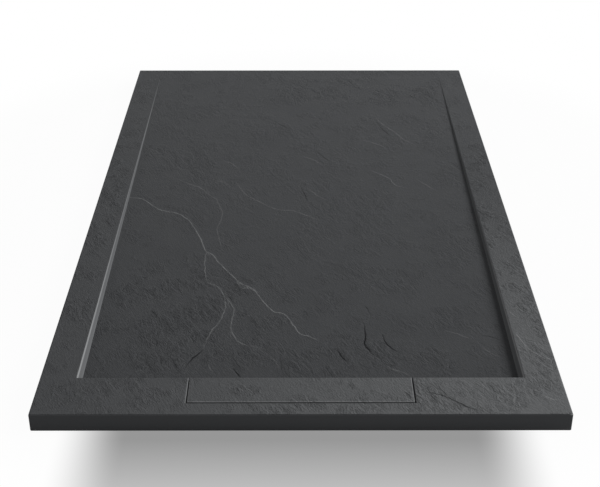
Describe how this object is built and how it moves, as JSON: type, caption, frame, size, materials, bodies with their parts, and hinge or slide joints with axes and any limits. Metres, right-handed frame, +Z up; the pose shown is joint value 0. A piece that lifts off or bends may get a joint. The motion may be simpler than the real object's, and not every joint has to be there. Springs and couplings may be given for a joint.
{
  "type": "shower tray",
  "caption": "Rectangular slate-finish shower tray with a floor falling to a covered channel drain at one end, lift-out drain cover, waste, strainer and bottle trap.",
  "frame": {"origin": "middle of the flat underside that is bedded on the floor", "axes": "+Z up out of the bed, +Y along the length away from the drain end, +X to the right seen from the drain end"},
  "size_m": [0.8, 1.4, 0.127],
  "materials": {
    "slate_stone": "matte",
    "stainless": "satin",
    "rubber": "matte",
    "trap_plastic": "satin",
    "dip_plastic": "satin",
    "nut_plastic": "satin"
  },
  "bodies": {
    "tray": {"tray_body": "slate_stone", "waste_flange": "stainless", "flange_gasket": "rubber", "trap_gasket": "rubber", "trap_body": "trap_plastic", "outlet_seal": "rubber", "outlet_washer": "dip_plastic", "outlet_nut": "nut_plastic"},
    "cover": {"drain_cover": "slate_stone", "cover_pads": "rubber"},
    "strainer": {"strainer_plate": "stainless", "strainer_knob": "stainless"},
    "water_seal": {"dip_tube": "dip_plastic", "dip_tube_ring": "rubber"}
  },
  "joints": [
    {"name": "cover_lift", "type": "slide", "parent": "tray", "child": "cover", "axis": [0, 0, 1], "range_m": [0, 0.25]},
    {"name": "strainer_lift", "type": "slide", "parent": "tray", "child": "strainer", "axis": [0, 0, 1], "range_m": [0, 0.15]},
    {"name": "dip_tube_lift", "type": "slide", "parent": "tray", "child": "water_seal", "axis": [0, 0, 1], "range_m": [0, 0.11]}
  ],
  "couplings": [
    {"joint": "strainer_lift", "follows": "cover_lift", "ratio": 0.6},
    {"joint": "dip_tube_lift", "follows": "cover_lift", "ratio": 0.44}
  ]
}
